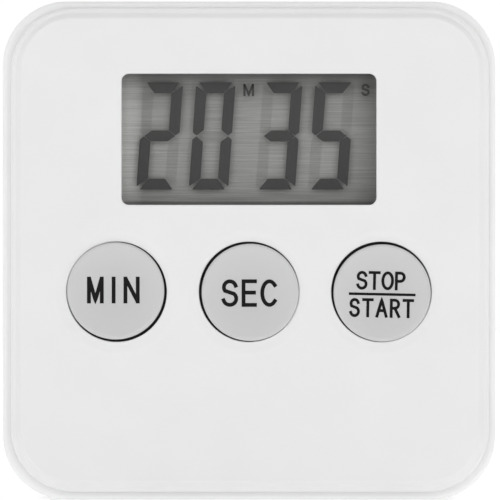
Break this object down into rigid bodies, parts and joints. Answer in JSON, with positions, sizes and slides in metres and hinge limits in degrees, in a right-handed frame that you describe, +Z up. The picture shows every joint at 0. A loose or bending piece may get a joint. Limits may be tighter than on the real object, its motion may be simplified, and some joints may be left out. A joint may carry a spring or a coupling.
{
  "type": "laboratory timer",
  "caption": "Square white digital count-down timer with a reflective liquid-crystal display, round push keys, a fold-out stand, magnets and a battery door at the back.",
  "frame": {"origin": "under the middle of the case, on the surface that it stands on", "axes": "+Z up, the display faces -Y, +X to the right of a person reading the display"},
  "size_m": [0.065, 0.0166, 0.0658],
  "materials": {
    "white_case": "fine satin moulding",
    "grey_key": "satin moulding",
    "clear_window": "clear polished",
    "display_glass": "clear polished",
    "display_film": "silvery grey film with fine streaks",
    "black_plastic": "matte moulding",
    "silicone": "matte",
    "carbon_rubber": "matte",
    "board": "satin lacquer",
    "epoxy": "smooth",
    "component_ceramic": "matte",
    "brass_sheet": "plain rolled",
    "nickel_plate": "bright nickel plate",
    "sounder_ceramic": "silvered ceramic",
    "red_insulation": "smooth",
    "black_insulation": "smooth",
    "cell_jacket": "printed jacket over a metal can",
    "screw_steel": "plain zinc plate"
  },
  "bodies": {
    "case": {"front_shell": "white_case", "rear_shell": "white_case", "lcd_window": "clear_window", "lcd_polariser": "display_glass", "lcd_front_glass": "display_glass", "lcd_rear_glass": "display_glass", "lcd_reflector": "display_film", "lcd_frame": "black_plastic", "zebra_strip": "carbon_rubber", "keypad_mat": "silicone", "keypad_dome_min": "silicone", "keypad_dome_sec": "silicone", "keypad_dome_start_stop": "silicone", "circuit_board": "board", "chip_blob": "epoxy", "crystal": "nickel_plate", "capacitor_1": "component_ceramic", "capacitor_2": "component_ceramic", "capacitor_3": "component_ceramic", "resistor_1": "epoxy", "resistor_2": "epoxy", "piezo_disc": "brass_sheet", "piezo_ceramic": "sounder_ceramic", "piezo_wire_red": "red_insulation", "piezo_wire_black": "black_insulation", "battery": "cell_jacket", "battery_spring": "nickel_plate", "negative_contact": "nickel_plate", "positive_contact": "nickel_plate", "battery_wire_red": "red_insulation", "battery_wire_black": "black_insulation", "magnet_left": "nickel_plate", "magnet_right": "nickel_plate", "case_screw_1": "screw_steel", "case_screw_2": "screw_steel", "case_screw_3": "screw_steel", "case_screw_4": "screw_steel", "board_screw_1": "screw_steel", "board_screw_2": "screw_steel", "board_screw_3": "screw_steel", "board_screw_4": "screw_steel"},
    "key_min": {"button_min": "grey_key", "contact_pill_min": "carbon_rubber"},
    "key_sec": {"button_sec": "grey_key", "contact_pill_sec": "carbon_rubber"},
    "key_start_stop": {"button_start_stop": "grey_key", "contact_pill_start_stop": "carbon_rubber"},
    "stand": {"stand": "white_case"},
    "battery_door": {"battery_door": "white_case"}
  },
  "joints": [
    {"name": "press_min", "type": "slide", "parent": "case", "child": "key_min", "axis": [0, 1, 0], "range_m": [0, 0.0009], "stiffness_N_per_m": 1500, "deforming": ["keypad_dome_min"]},
    {"name": "press_sec", "type": "slide", "parent": "case", "child": "key_sec", "axis": [0, 1, 0], "range_m": [0, 0.0009], "stiffness_N_per_m": 1500, "deforming": ["keypad_dome_sec"]},
    {"name": "press_start_stop", "type": "slide", "parent": "case", "child": "key_start_stop", "axis": [0, 1, 0], "range_m": [0, 0.0009], "stiffness_N_per_m": 1500, "deforming": ["keypad_dome_start_stop"]},
    {"name": "stand_hinge", "type": "hinge", "parent": "case", "child": "stand", "pos_m": [0, 0.0068, 0.0259], "axis": [-1, 0, 0], "range_deg": [0, 120]},
    {"name": "door_hinge", "type": "hinge", "parent": "case", "child": "battery_door", "pos_m": [0, 0.00725, 0.0047], "axis": [-1, 0, 0], "range_deg": [0, 75]}
  ]
}
